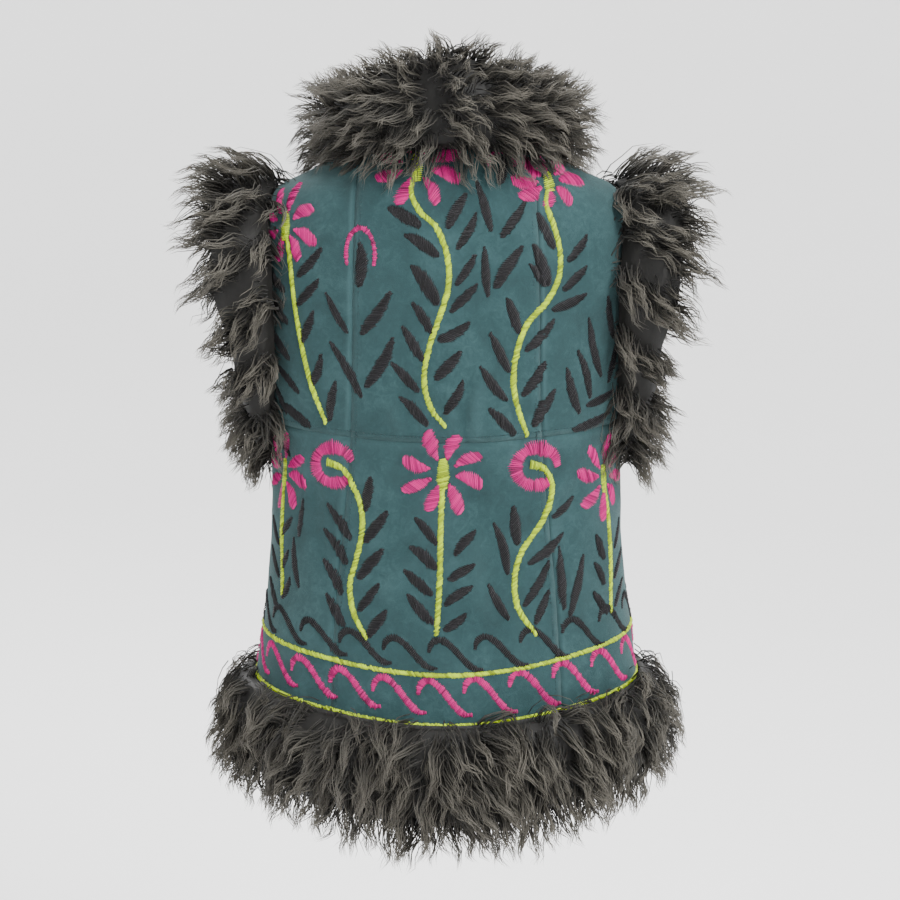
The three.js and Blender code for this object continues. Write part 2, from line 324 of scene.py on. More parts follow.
def make_piece(name, points, faces, material, attributes=None):
    """Mesh object from arrays of points in mm and of corner indices, with smooth faces."""
    points = np.asarray(points, float).reshape(-1, 3)
    mesh = bpy.data.meshes.new(name)
    mesh.vertices.add(len(points))
    mesh.vertices.foreach_set("co", (points * MM).astype(np.float32).ravel())
    corners = np.concatenate([f.ravel() for f in faces]).astype(np.int32)
    sizes = np.concatenate([np.full(len(f), f.shape[1]) for f in faces])
    starts = np.concatenate([[0], np.cumsum(sizes)[:-1]]).astype(np.int32)
    mesh.loops.add(len(corners))
    mesh.loops.foreach_set("vertex_index", corners)
    mesh.polygons.add(len(sizes))
    mesh.polygons.foreach_set("loop_start", starts)
    mesh.polygons.foreach_set("use_smooth", np.ones(len(sizes), bool))
    for key, values in (attributes or {}).items():
        layer = mesh.attributes.new(key, "FLOAT", "POINT")
        layer.data.foreach_set("value", np.asarray(values, np.float32).ravel())
    mesh.update(calc_edges=True)
    mesh.materials.append(material)
    piece = bpy.data.objects.new(name, mesh)
    bpy.context.scene.collection.objects.link(piece)
    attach(piece, "root")
    return piece


def start_material(name):
    material = bpy.data.materials.new(name)
    material.use_nodes = True
    tree = material.node_tree
    return material, tree, tree.nodes["Principled BSDF"]


def add(tree, kind, settings=None, links=None, **attributes):
    """Adds a node: attributes are its own settings, settings fill its sockets, links feed them."""
    node = tree.nodes.new(kind)
    for key, value in attributes.items():
        setattr(node, key, value)
    for key, value in (settings or {}).items():
        node.inputs[key].default_value = value
    for key, socket in (links or {}).items():
        tree.links.new(socket, node.inputs[key])
    return node


def weighted(tree, *parts):
    """Sum of (socket, weight) pairs: the first is scaled, each next one is scaled and added."""
    (socket, weight), *rest = parts
    total = add(tree, "ShaderNodeMath", {1: weight}, {0: socket}, operation="MULTIPLY").outputs[0]
    for socket, weight in rest:
        total = add(tree, "ShaderNodeMath", {1: weight}, {0: socket, 2: total},
                    operation="MULTIPLY_ADD").outputs[0]
    return total


def ramp(tree, factor, stops):
    """Colour ramp through (position, colour) stops."""
    node = add(tree, "ShaderNodeValToRGB", links={"Fac": factor})
    elements = node.color_ramp.elements
    elements[0].position, elements[0].color = stops[0]
    elements[1].position, elements[1].color = stops[-1]
    for position, colour in stops[1:-1]:
        element = elements.new(position)
        element.color = colour
    return node.outputs["Color"]


def suede_material(options):
    """Chrome-tanned split suede, dyed teal and brushed: a matte nap that lies in strokes, lighter
    where it is brushed up and where seams and edges rub, with hair-fine fibres."""
    material, tree, shader = start_material("brushed_teal_suede")
    place = add(tree, "ShaderNodeTexCoord").outputs["Object"]
    cloud = add(tree, "ShaderNodeTexNoise", {"Scale": 22.0, "Detail": 4.0, "Roughness": 0.6,
                                             "Distortion": 0.6}, {"Vector": place})
    strokes = add(tree, "ShaderNodeTexNoise", {"Scale": 130.0, "Detail": 5.0, "Roughness": 0.65,
                                               "Distortion": 1.2}, {"Vector": place})
    fibres = add(tree, "ShaderNodeTexNoise", {"Scale": 900.0, "Detail": 4.0, "Roughness": 0.7},
                 {"Vector": place})
    blend = weighted(tree, (cloud.outputs["Fac"], 0.45), (strokes.outputs["Fac"], 0.4),
                     (fibres.outputs["Fac"], 0.15))
    dye = tuple(options.suede_colour)
    dark = tuple(0.66 * c for c in dye)
    light = tuple(min(1, 1.42 * c + 0.006) for c in dye)
    colour = ramp(tree, blend, [(0.34, (*dark, 1)), (0.5, (*dye, 1)), (0.66, (*light, 1))])
    rub = add(tree, "ShaderNodeAttribute", attribute_name="rub").outputs["Fac"]
    worn = add(tree, "ShaderNodeMix", {"B": (*[min(1, 1.75 * c + 0.012) for c in dye], 1)},
               {"Factor": rub, "A": colour}, data_type="RGBA")
    tree.links.new(worn.outputs["Result"], shader.inputs["Base Color"])
    height = add(tree, "ShaderNodeMath", {1: 0.5, 2: 0.0}, {0: strokes.outputs["Fac"],
                                                           2: fibres.outputs["Fac"]},
                 operation="MULTIPLY_ADD")
    bump = add(tree, "ShaderNodeBump", {"Strength": 0.55, "Distance": 0.0006},
               {"Height": height.outputs[0]})
    tree.links.new(bump.outputs["Normal"], shader.inputs["Normal"])
    shader.inputs["Roughness"].default_value = 0.93
    shader.inputs["Specular IOR Level"].default_value = 0.22
    shader.inputs["Sheen Weight"].default_value = 0.1
    shader.inputs["Sheen Roughness"].default_value = 0.55
    shader.inputs["Sheen Tint"].default_value = (0.62, 0.85, 0.85, 1)
    return material


def thread_material(name, colour, dark_share):
    """Loosely spun mercerised cotton laid in satin stitch: each thread a little different in
    depth of dye, glossier along its crown, with a fine twist."""
    material, tree, shader = start_material(name)
    place = add(tree, "ShaderNodeTexCoord").outputs["Object"]
    tone = add(tree, "ShaderNodeAttribute", attribute_name="tone").outputs["Fac"]
    fuzz = add(tree, "ShaderNodeTexNoise", {"Scale": 1400.0, "Detail": 3.0, "Roughness": 0.6},
               {"Vector": place})
    depth = add(tree, "ShaderNodeMath", {1: 0.35, 2: 0.0}, {0: fuzz.outputs["Fac"], 2: tone},
                operation="MULTIPLY_ADD")
    dye = tuple(colour)
    dark = tuple(dark_share * c for c in dye)
    light = tuple(min(1, 1.35 * c + 0.001) for c in dye)
    shade = ramp(tree, depth.outputs[0], [(0.1, (*dark, 1)), (0.6, (*dye, 1)), (1.2, (*light, 1))])
    tree.links.new(shade, shader.inputs["Base Color"])
    bump = add(tree, "ShaderNodeBump", {"Strength": 0.35, "Distance": 0.0003},
               {"Height": fuzz.outputs["Fac"]})
    tree.links.new(bump.outputs["Normal"], shader.inputs["Normal"])
    shader.inputs["Roughness"].default_value = 0.58
    shader.inputs["Specular IOR Level"].default_value = 0.2
    shader.inputs["Sheen Weight"].default_value = 0.05
    shader.inputs["Sheen Roughness"].default_value = 0.4
    return material


def fur_material(options):
    """Dyed long-haired sheepskin: near-black greasy wool at the skin, brown-grey hair that bleaches
    towards its tip, each lock its own shade, with a soft gloss. The underfur body takes the darkest
    root colour: partly the dark dye at the skin, partly painted shade deep in the fur."""
    material, tree, shader = start_material("long_haired_sheepskin")
    place = add(tree, "ShaderNodeTexCoord").outputs["Object"]
    tip = add(tree, "ShaderNodeAttribute", attribute_name="tip").outputs["Fac"]
    tone = add(tree, "ShaderNodeAttribute", attribute_name="tone").outputs["Fac"]
    patches = add(tree, "ShaderNodeTexNoise", {"Scale": 26.0, "Detail": 3.0}, {"Vector": place})
    streaks = add(tree, "ShaderNodeTexNoise", {"Scale": 420.0, "Detail": 3.0}, {"Vector": place})
    shade = add(tree, "ShaderNodeMath", {1: 0.34, 2: 0.0}, {0: tone, 2: tip},
                operation="MULTIPLY_ADD")
    shade = add(tree, "ShaderNodeMath", {1: 0.22, 2: 0.0}, {0: patches.outputs["Fac"],
                                                           2: shade.outputs[0]},
                operation="MULTIPLY_ADD")
    shade = add(tree, "ShaderNodeMath", {1: 0.16, 2: 0.0}, {0: streaks.outputs["Fac"],
                                                           2: shade.outputs[0]},
                operation="MULTIPLY_ADD")
    scaled = add(tree, "ShaderNodeMath", {1: 0.58}, {0: shade.outputs[0]}, operation="MULTIPLY")
    body = tuple(options.fur_colour)
    root = tuple(0.14 * c for c in body)
    tips = tuple(options.fur_tip_colour)
    colour = ramp(tree, scaled.outputs[0], [(0.16, (*root, 1)), (0.45, (*body, 1)),
                                            (0.92, (*tips, 1))])
    tree.links.new(colour, shader.inputs["Base Color"])
    bump = add(tree, "ShaderNodeBump", {"Strength": 0.3, "Distance": 0.0006},
               {"Height": streaks.outputs["Fac"]})
    tree.links.new(bump.outputs["Normal"], shader.inputs["Normal"])
    shader.inputs["Roughness"].default_value = 0.62
    shader.inputs["Specular IOR Level"].default_value = 0.22
    shader.inputs["Sheen Weight"].default_value = 0.03
    return material


# ---------------------------------------------------------------- suede pieces

def row_height(turn, row, shift):
    """Height of a row: 0 to 1 hem to waist seam, 1 to 2 waist seam to neckline, closing up
    above."""
    yoke = yoke_line(turn) + shift
    lower = mix(hem_line(turn), yoke, row)
    upper = mix(yoke, neck_line(turn), 1 - np.maximum(2 - row, 0) ** 1.7)
    return np.where(row <= 1, lower, upper)


def long_seam_line(side):
    def line(height):
        radius = np.linalg.norm(form(RIGHT / 2, height), axis=-1)
        return princess_turn(height) + side * GAP / 2 / radius
    return line


def back_edge(height):
    return RIGHT - arm_cut(height, ARM_BACK) - GAP / 2 / BODY_RADIUS


def front_edge(height):
    return RIGHT + arm_cut(height, ARM_FRONT) + GAP / 2 / BODY_RADIUS


def front_closing(height):
    return math.pi - FRONT_GAP / 2 / np.linalg.norm(form(math.pi, height), axis=-1)


def minus(line):
    return lambda height: -line(height)


def suede_panel(name, columns, rows, start, end, shift, material):
    """Grid between two lines (turn as a function of height) and along the rows. The outer skin is
    the form plus the relief, the inner skin lies one wall inside it, and a cut edge joins them."""
    u = np.linspace(0, 1, columns + 1)[None, :]
    row = np.asarray(rows)[:, None]
    turn = mix(start(np.array(-200.0)), end(np.array(-200.0)), u) + 0 * row
    for _ in range(7):
        height = row_height(turn, row, shift)
        turn = mix(start(height), end(height), u)
    across = across_of(turn, height)
    normal = outward(turn, height)
    rise = relief(across, height)
    outer = form(turn, height) + normal * rise[..., None]
    inner = form(turn, height) + normal * (rise - WALL)[..., None]
    tall, wide = turn.shape
    at = np.arange(tall * wide).reshape(tall, wide)
    low = at + tall * wide

    def quads(a, b, c, d):
        return np.stack([a, b, c, d], -1).reshape(-1, 4)

    faces = [
        quads(at[:-1, :-1], at[:-1, 1:], at[1:, 1:], at[1:, :-1]),
        quads(low[:-1, :-1], low[1:, :-1], low[1:, 1:], low[:-1, 1:]),
        quads(low[0, :-1], low[0, 1:], at[0, 1:], at[0, :-1]),
        quads(at[-1, :-1], at[-1, 1:], low[-1, 1:], low[-1, :-1]),
        quads(at[:-1, 0], at[1:, 0], low[1:, 0], low[:-1, 0]),
        quads(low[:-1, -1], low[1:, -1], at[1:, -1], at[:-1, -1]),
    ]
    long_seam, waist, side = seam_distances(across, height)
    near = np.minimum(np.where(np.abs(across) < 135, long_seam, 99), np.minimum(waist, side))
    rub = 0.5 * np.exp(-((near - 2.6) / 2.2) ** 2) + 0.10 * np.clip(rise, 0, 3)
    rub = np.concatenate([rub.ravel(), 0 * rub.ravel()])
    points = np.concatenate([outer.reshape(-1, 3), inner.reshape(-1, 3)])
    piece = make_piece(name, points, faces, material, {"rub": rub})
    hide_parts(name)
    return piece


# ---------------------------------------------------------------- satin stitch

def curve_through(points, count):
    """Smooth curve through a few points (across, height): the cubic of `through`, along its chord
    length, read at evenly spaced distances."""
    points = np.asarray(points, float)
    chord = np.concatenate([[0], np.cumsum(np.hypot(*np.diff(points, axis=0).T))])
    fine = np.linspace(0, chord[-1], 24 * len(points))
    curve = np.stack(through(np.column_stack([chord, points]), fine), -1)
    run = np.concatenate([[0], np.cumsum(np.hypot(*np.diff(curve, axis=0).T))])
    even = np.linspace(0, run[-1], count)
    return np.stack([np.interp(even, run, curve[:, k]) for k in (0, 1)], -1), run[-1]


def satin(points, half_width, pitch=1.7, slant=0.8, rng=None):
    """Threads laid side by side across a path: thread i runs from the left edge, a little behind
    its place, to the right edge, a little ahead. half_width is a function of 0 to 1 along the path.
    Returns rows of across, height at both ends, and a thread width."""
    _, length = curve_through(points, 8)
    count = max(3, int(round(length / pitch)))
    path, length = curve_through(points, 240)
    place = (np.arange(count) + 0.5) / count * length
    wide = half_width(np.clip(place / length, 0, 1)) + (0.35 * rng.standard_normal(count))
    wide = np.maximum(wide, 0.5)
    run = np.linspace(0, length, len(path))
    ahead = np.stack([np.gradient(path[:, k], run) for k in (0, 1)], -1)
    ahead /= np.maximum(np.hypot(*ahead.T), 1e-6)[:, None]

    def read(values, at):
        inside = np.clip(at, 0, length)
        return np.stack([np.interp(inside, run, values[:, k]) for k in (0, 1)], -1)

    ends = []
    for side in (-1, 1):
        at = place + side * slant * wide * np.minimum(1, length / 20)
        spot, forward = read(path, at), read(ahead, at)
        beyond = (at - np.clip(at, 0, length))[:, None]
        aside = np.stack([-forward[:, 1], forward[:, 0]], -1)
        ends.append(spot + forward * beyond * 0.4 - side * aside * wide[:, None])
    thick = np.full((count, 1), 1.12 * length / count)
    return np.concatenate([ends[0], ends[1], thick], 1)


def threads_mesh(rows, crown, rng):
    """Each thread is a closed three-sided tube in four rings: both ends dive under the suede and
    the middle stands a crown above it. Corners: left, top, right of the thread's own direction."""
    a0, h0, a1, h1, thick = rows.T
    t = np.array([0, 0.3, 0.7, 1])[None, :]
    across = mix(a0[:, None], a1[:, None], t)
    height = mix(h0[:, None], h1[:, None], t)
    stagger = 0.12 * rng.standard_normal(len(rows))[:, None]
    lift = np.array([-0.7, 1, 1, -0.7])[None, :] * crown + stagger
    centre = on_suede(across, height, lift)
    normal = outward(turn_of(across, height), height)
    along = unit(centre[:, -1] - centre[:, 0])[:, None, :]
    side = unit(np.cross(normal, along))
    swell = (np.array([0.62, 1, 1, 0.62])[None, :] * thick[:, None] / 2)[..., None]
    base = centre - normal * 0.55
    points = np.stack([base + side * swell, centre + normal * 0.35, base - side * swell], 2)
    count = len(rows)
    first = (np.arange(count) * 12)[:, None, None]
    ring = np.arange(3)[None, :, None] * 3
    k = np.arange(3)[None, None, :]
    a = first + ring + k
    b = first + ring + (k + 1) % 3
    sides = np.stack([a, a + 3, b + 3, b], -1).reshape(-1, 4)
    first = first.reshape(-1, 1)
    caps = np.concatenate([first + np.array([[0, 1, 2]]), first + np.array([[11, 10, 9]])])
    points = points.reshape(-1, 3)
    faces = face_out(points, [sides, caps])
    tone = np.repeat(0.45 + 0.3 * rng.standard_normal(count), 12)
    return points, faces, tone


def face_out(points, faces):
    """Turns every face round if the closed mesh encloses a negative volume."""
    volume = 0.0
    for f in faces:
        for k in range(1, f.shape[1] - 1):
            p, q, r = points[f[:, 0]], points[f[:, k]], points[f[:, k + 1]]
            volume += np.einsum("ij,ij->i", p, np.cross(q, r)).sum()
    return faces if volume > 0 else [f[:, ::-1] for f in faces]


def leaf_width(width):
    """Half width of a leaf, 0 to 1 from foot to tip: a sine, widest a little before the middle."""
    def half(t):
        place = np.clip(0.04 + 0.92 * t, 0, 1)
        return 1.22 * width / 2 * np.sin(math.pi * place**0.85) ** 0.75
    return half


def petal_width(width):
    """Half width of a petal: a sine, widest beyond the middle."""
    return lambda t: 1.2 * width / 2 * np.sin(math.pi * (0.06 + 0.86 * t) ** 1.35) ** 0.7


def band_width(width, ends=0.55):
    """Half width of a band that narrows over the first and last seventh."""
    return lambda t: width / 2 * mix(ends, 1, np.minimum(smooth(t / 0.14), smooth((1 - t) / 0.14)))


def steepness(across, height):
    """Length of suede per unit of height, at a fixed distance across."""
    here = form(turn_of(across, height + 2.0), height + 2.0)
    there = form(turn_of(across, height - 2.0), height - 2.0)
    return np.linalg.norm(here - there, axis=-1) / 4


def around(centre, angle, radius):
    """Point at a distance and clock angle (0 up, + to the right) from a flower's centre."""
    a, h = centre
    slope = float(steepness(np.array(float(a)), np.array(float(h))))
    return (a + radius * math.sin(angle), h + radius * math.cos(angle) / slope)


# Stems, from the flower down: a list of (across, height)
STEMS = {
    "upper_left": [(-157, -64), (-150, -92), (-145, -130), (-137, -172), (-128, -206),
                   (-113, -241)],
    "upper_middle": [(-27, -12), (-32, -28), (-24, -46), (-9, -60), (1, -86), (2, -112), (-4, -134),
                     (-15, -166), (-20, -196), (-14, -222), (0, -240)],
    "upper_right": [(97, -22), (92, -40), (99, -60), (105, -84), (103, -108), (90, -130),
                    (74, -146), (64, -172), (61, -200), (66, -226), (75, -250)],
    "side_left": [(-172, -296), (-172, -330), (-171, -370), (-170, -408)],
    "lower_left": [(-106, -277), (-98, -280), (-88, -294), (-79, -315), (-78, -340), (-84, -366),
                   (-90, -388), (-86, -414), (-73, -437)],
    "lower_middle": [(-3, -284), (-5, -330), (-6, -380), (-9, -432)],
    "lower_right": [(82, -276), (90, -280), (98, -292), (97, -312), (86, -334), (70, -356),
                    (63, -380), (66, -408), (84, -434)],
    "side_right": [(163, -297), (167, -338), (171, -382), (170, -424)],
}

# Daisies: across, height, inner and outer reach of the petals, turn of the first petal
DAISIES = [
    (-157, -62, 11, 37, 18),
    (-27, -7, 14, 44, 22),
    (97, -22, 11, 38, 6),
    (-172, -292, 11, 36, 12),
    (-3, -282, 12, 40, 20),
    (163, -296, 11, 38, 8),
]

# Poppies, a closed hood open to the lower right: across, height, reach, start and end angle
POPPIES = [(-106, -279, 17, 132, 432), (84, -279, 18, 146, 452)]

# Arches over a single leaf: across, height of the middle, half width, half height
ARCHES = [(-78, -92, 13.5, 26), (52, -8, 13.5, 15)]

# Leaves: across and height at the foot, at the tip, width
LEAVES = [
    # beside the upper left stem
    (-156, -121, -188, -101, 11), (-153, -150, -185, -124, 11), (-152, -184, -183, -157, 10),
    (-142, -214, -177, -190, 9), (-130, -243, -172, -226, 11), (-160, -236, -186, -204, 8),
    (-140, -108, -116, -80, 10), (-141, -134, -119, -108, 10), (-138, -169, -124, -137, 10),
    (-128, -208, -117, -176, 10), (-109, -238, -103, -200, 10),
    # between the upper left stem and the upper middle stem
    (-90, -156, -112, -120, 8), (-77, -157, -50, -117, 12), (-77, -214, -108, -164, 9),
    (-73, -205, -48, -158, 12), (-78, -114, -79, -74, 12), (50, -24, 54, 0, 12),
    # beside the upper middle stem
    (-22, -58, -53, -44, 13), (-6, -85, -38, -67, 12), (-6, -128, -32, -94, 15),
    (-12, -154, -31, -127, 10), (-20, -179, -40, -148, 10), (-24, -207, -50, -181, 10),
    (-16, -238, -43, -212, 10),
    (2, -62, 18, -30, 12), (10, -80, 27, -47, 9), (9, -112, 26, -84, 9), (4, -136, 28, -110, 10),
    (-7, -162, 21, -144, 11), (-9, -197, 13, -170, 12), (-1, -228, 15, -196, 10),
    # between the upper middle stem and the upper right stem
    (41, -64, 27, -20, 9), (50, -70, 72, -38, 10), (38, -122, 34, -77, 9), (45, -115, 69, -77, 13),
    # beside the upper right stem
    (100, -80, 83, -48, 11), (95, -113, 78, -76, 12), (91, -114, 75, -93, 7),
    (67, -155, 54, -123, 11),
    (58, -190, 39, -154, 10), (56, -216, 30, -184, 10), (64, -247, 38, -223, 11),
    (113, -93, 133, -69, 10), (108, -119, 133, -97, 10), (97, -136, 133, -122, 10),
    (72, -172, 99, -143, 10), (70, -213, 91, -181, 11), (81, -242, 101, -207, 12),
    # the spray by the right armhole
    (168, -166, 157, -126, 9), (153, -200, 135, -144, 10), (163, -207, 176, -161, 9),
    (140, -219, 123, -173, 10), (128, -232, 112, -188, 11), (135, -226, 172, -214, 10),
    (120, -248, 168, -235, 10), (-187, -262, -160, -276, 9),
    # beside the side left stem
    (-146, -350, -140, -313, 7), (-172, -353, -156, -333, 8), (-145, -397, -153, -351, 8),
    (-172, -385, -160, -364, 8), (-170, -411, -158, -389, 9),
    (-176, -362, -196, -338, 9), (-176, -392, -198, -366, 9), (-176, -420, -199, -396, 9),
    # beside the lower left stem
    (-74, -320, -70, -287, 12), (-75, -349, -54, -318, 12), (-81, -383, -58, -353, 12),
    (-81, -412, -62, -385, 10), (-72, -436, -55, -409, 11),
    (-88, -346, -113, -315, 10), (-92, -369, -118, -339, 10), (-97, -397, -118, -367, 10),
    (-94, -426, -114, -398, 10),
    # beside the lower middle stem
    (-8, -348, -29, -324, 10), (-8, -370, -34, -351, 12), (-12, -394, -39, -372, 11),
    (-11, -420, -36, -394, 11), (8, -359, 27, -335, 10), (3, -382, 26, -366, 10),
    (-1, -405, 24, -386, 10), (-2, -428, 18, -411, 10),
    # beside the lower right stem
    (100, -328, 122, -309, 9), (76, -369, 112, -342, 10), (72, -407, 96, -366, 10),
    (83, -424, 96, -393, 9), (67, -350, 61, -314, 12), (57, -377, 43, -329, 10),
    (58, -418, 38, -385, 9), (112, -413, 107, -354, 10), (118, -420, 133, -364, 10),
    # beside the side right stem
    (162, -372, 148, -348, 10), (162, -396, 146, -374, 9), (165, -423, 144, -401, 10),
    (178, -366, 196, -340, 9), (178, -394, 198, -368, 9), (178, -420, 199, -396, 9),
]

# Sprays of the fronts, mirrored left and right: stem, flower reach and leaf pairs down the stem
FRONT_STEMS = [
    [(300, -286), (296, -330), (302, -376), (298, -426)],
    [(392, -150), (398, -196), (388, -240), (394, -290)],
    [(384, -330), (388, -360), (382, -396), (386, -430)],
]


def stem_leaves(stem, pairs, reach=26, width=10):
    """Pairs of leaves down a stem, each rising away from it at 45 degrees, staggered left and
    right."""
    path, _ = curve_through(stem, 200)
    rows = []
    for k in range(pairs):
        for side in (-1, 1):
            t = (0.2 + 0.72 * (k + 0.25 * (side + 1)) / pairs)
            a, h = path[int(t * 199)]
            rows.append((a + 5 * side, h, a + side * (5 + 0.72 * reach), h + 0.78 * reach, width))
    return rows


def wave(start, height, stretch, rise):
    """An S-shaped scroll: a small hook, a hump and a long fall to the right."""
    shape = [(0, -0.2), (0.05, 0.12), (0.2, 0.26), (0.42, 0.0), (0.66, -0.5), (0.84, -0.78),
             (1, -0.8)]
    return [(start + stretch * x, height + rise * y) for x, y in shape]


def border_height(across, above_hem):
    turn = turn_of(np.asarray(across, float), np.asarray(hem_line(0.6) + above_hem, float))
    return hem_line(turn) + above_hem


def lay_embroidery(rng):
    """All threads by colour: lists of satin rows for lime, pink and black."""
    lime, pink, black = [], [], []
    front_daisies = []
    stems = list(STEMS.values())
    leaves = list(LEAVES)
    for stem in FRONT_STEMS:
        for side in (-1, 1):
            own = [(side * a, h) for a, h in stem]
            stems.append(own)
            leaves += stem_leaves(own, 4)
            front_daisies.append((own[0][0], own[0][1] + 3, 11, 36, 10))
    for stem in stems:
        lime.append(satin(stem, band_width(6.4, 0.75), 1.75, 0.9, rng))
    for a, h, inner, outer, first in DAISIES + front_daisies:
        top, foot = around((a, h), 0, inner + 1), around((a, h), math.pi, inner + 4)
        lime.append(satin([top, (a, h), foot],
                          lambda t: 7.0 * np.sin(math.pi * (0.12 + 0.7 * t)) ** 0.6,
                          1.6, 0.25, rng))
        for k in range(8):
            angle = math.radians(first + 45 * k + rng.uniform(-5, 5))
            reach = outer + rng.uniform(-3, 3)
            middle = around((a, h), angle + rng.uniform(-0.08, 0.08), (inner + reach) / 2)
            ends = [around((a, h), angle, inner), middle, around((a, h), angle, reach)]
            pink.append(satin(ends, petal_width(rng.uniform(11.5, 14)), 1.6, 0.55, rng))
    for a, h, reach, start, end in POPPIES:
        angles = np.radians(np.linspace(start, end, 9))
        ring = [(a + 1.15 * reach * math.sin(t), h + 0.98 * reach * math.cos(t)) for t in angles]
        pink.append(satin(ring, lambda t: 7.2 * mix(0.6, 1, smooth(np.minimum(t, 1 - t) / 0.12))
                          * (1 + 0.12 * np.sin(19 * t)), 1.6, 0.1, rng))
        lime.append(satin([(a - 7, h + 3), (a, h + 1), (a + 9, h - 2)], lambda t: 5.4 - 2.2 * t,
                          1.6, 0.2, rng))
    for a, h, wide, tall in ARCHES:
        t = np.linspace(-0.62 * math.pi, 0.62 * math.pi, 11)
        slope = float(steepness(np.array(float(a)), np.array(float(h))))
        arch = [(a + wide * math.sin(s), h + (tall * (math.cos(s) + 0.25) / 1.05) / slope)
                for s in t]
        pink.append(satin(arch, band_width(5.2, 0.8), 1.6, 0.1, rng))
    for a0, h0, a1, h1, width in leaves:
        bend = 0.06 * rng.uniform(-1, 1)
        middle = ((a0 + a1) / 2 + bend * (h1 - h0), (h0 + h1) / 2 - bend * (a1 - a0))
        black.append(satin([(a0, h0), middle, (a1, h1)], leaf_width(width), 1.9, 0.8, rng))
    reach = 520
    for k, start in enumerate(np.arange(-reach, reach, 42.0)):
        base = border_height(start + 24, 0)
        black.append(satin(wave(start, base + 80, 50, 26), band_width(8.4, 0.5), 1.7, 0.15, rng))
        base = border_height(start + 14, 0)
        pink.append(satin(wave(start - 10, base + 42, 50, 30), band_width(8.0, 0.5), 1.7, 0.15,
                          rng))
    for above in (54, 8):
        line = [(a, float(border_height(a, above))) for a in np.linspace(-530, 530, 60)]
        lime.append(satin(line, band_width(5.0, 0.9), 1.9, 1.0, rng))
    return {"lime": lime, "pink": pink, "black": black}


def keep_on_suede(rows):
    """Drops threads that would cross the front opening, an armhole, the neckline or the hem."""
    across, height = (rows[:, 0] + rows[:, 2]) / 2, (rows[:, 1] + rows[:, 3]) / 2
    turn = turn_of(across, height)
    cut = np.where(np.abs(turn) < RIGHT, arm_cut(height, ARM_BACK), arm_cut(height, ARM_FRONT))
    in_hole = np.abs(np.abs(turn) - RIGHT) < cut + 0.012
    at_front = np.abs(turn) > front_closing(height) - 0.06
    off = (height > neck_line(turn) - 2) | (height < hem_line(turn) + 3)
    return rows[~(in_hole | at_front | off)]


def topstitching(rng):
    """Rows of short stitches beside the waist seam and the long back seams."""
    pitch, length, beside = TOPSTITCH_PITCH, TOPSTITCH_LENGTH, TOPSTITCH_BESIDE
    a = np.arange(-176, 176, pitch)
    turn = turn_of(a, np.full_like(a, YOKE_SIDE))
    next_turn = turn_of(a + length, np.full_like(a, YOKE_SIDE))
    rows = [np.stack([a, yoke_line(turn) + beside, a + length, yoke_line(next_turn) + beside,
                      np.full_like(a, 1.0)], -1)]
    h = np.arange(HEM_SIDE - 14, 6, pitch)
    for side in (-1, 1):
        low = across_of(princess_turn(h), h) - beside
        high = across_of(princess_turn(h + length), h + length) - beside
        rows.append(np.stack([side * low, h, side * high, h + length, np.full_like(h, 1.0)], -1))
    return np.concatenate(rows)


# ---------------------------------------------------------------- fur

def lay_fur(roots, normals, comb, lengths, hairs, options, rng, curl=1.0, spread=5.0):
    """Locks of hair. A lock's middle line starts along mix(normal, comb), bends towards the comb
    and the ground, and waves from side to side; its hairs start spread round it and close up
    towards the tip. Each hair is a closed three-sided tube of six rings that narrows to a point."""
    count = len(roots)
    rings = 6
    t = np.linspace(0, 1, rings)
    fine = np.linspace(0, 1, 4 * (rings - 1) + 1)
    first = unit(normals * 0.9 + comb * 0.55 + 0.22 * rng.standard_normal((count, 3)))
    later = unit(normals * 0.22 + comb * 1.0 + np.array([0, 0, -0.35])
                 + 0.2 * rng.standard_normal((count, 3)))
    ease = smooth(fine * 1.15)[None, :, None]
    heading = unit(first[:, None, :] * (1 - ease) + later[:, None, :] * ease)
    steps = 0.5 * (heading[:, 1:] + heading[:, :-1]) * (lengths[:, None, None] / (len(fine) - 1))
    middle = np.concatenate([np.zeros((count, 1, 3)), np.cumsum(steps, 1)], 1)[:, ::4]
    heading = heading[:, ::4]
    side = unit(np.cross(heading, normals[:, None, :] + 0.01))
    other = np.cross(heading, side)
    phase = rng.uniform(0, 2 * math.pi, (count, 1))
    waves = lengths[:, None] / rng.uniform(30, 42, (count, 1))
    size = curl * rng.uniform(2.6, 5.0, (count, 1)) * smooth(t * 1.4)[None, :]
    swing = 2 * math.pi * waves * t[None, :] + phase
    middle = (roots[:, None, :] + middle
              + side * (size * np.sin(swing))[..., None]
              + other * (0.7 * size * np.cos(swing))[..., None])

    lock = np.repeat(np.arange(count), hairs)
    total = len(lock)
    spot = rng.standard_normal((total, 2)) * spread
    close = (1 - options.clumping * smooth(t * 1.1))[None, :]
    loose = np.where(rng.random(total) < 0.08, 2.4, 1.0)[:, None]
    own = 1.5 * loose * smooth(t)[None, :]
    own_phase = rng.uniform(0, 2 * math.pi, (total, 1))
    own_swing = 2 * math.pi * rng.uniform(1.1, 2.4, (total, 1)) * t[None, :] + own_phase
    off_side = spot[:, :1] * close * mix(1.0, loose, t[None, :]) + own * np.sin(own_swing)
    off_other = spot[:, 1:] * close + own * np.cos(own_swing)
    # a hair shorter than its lock: its rings stop earlier along the lock's line
    share = rng.uniform(0.72, 1.0, (total, 1)) * t[None, :] * (rings - 1)
    k = np.clip(share.astype(int), 0, rings - 2)
    f = (share - k)[..., None]
    rows = lock[:, None]
    centre = middle[rows, k] * (1 - f) + middle[rows, k + 1] * f
    side, other, heading = side[rows, k], other[rows, k], heading[rows, k]
    centre = centre + side * off_side[..., None] + other * off_other[..., None]
    thick = options.hair_width / MM * rng.uniform(0.75, 1.25, (total, 1))
    radius = 0.5 * thick * (1 - 0.82 * t[None, :] ** 1.6)
    return centre, side, other, radius, t, lock


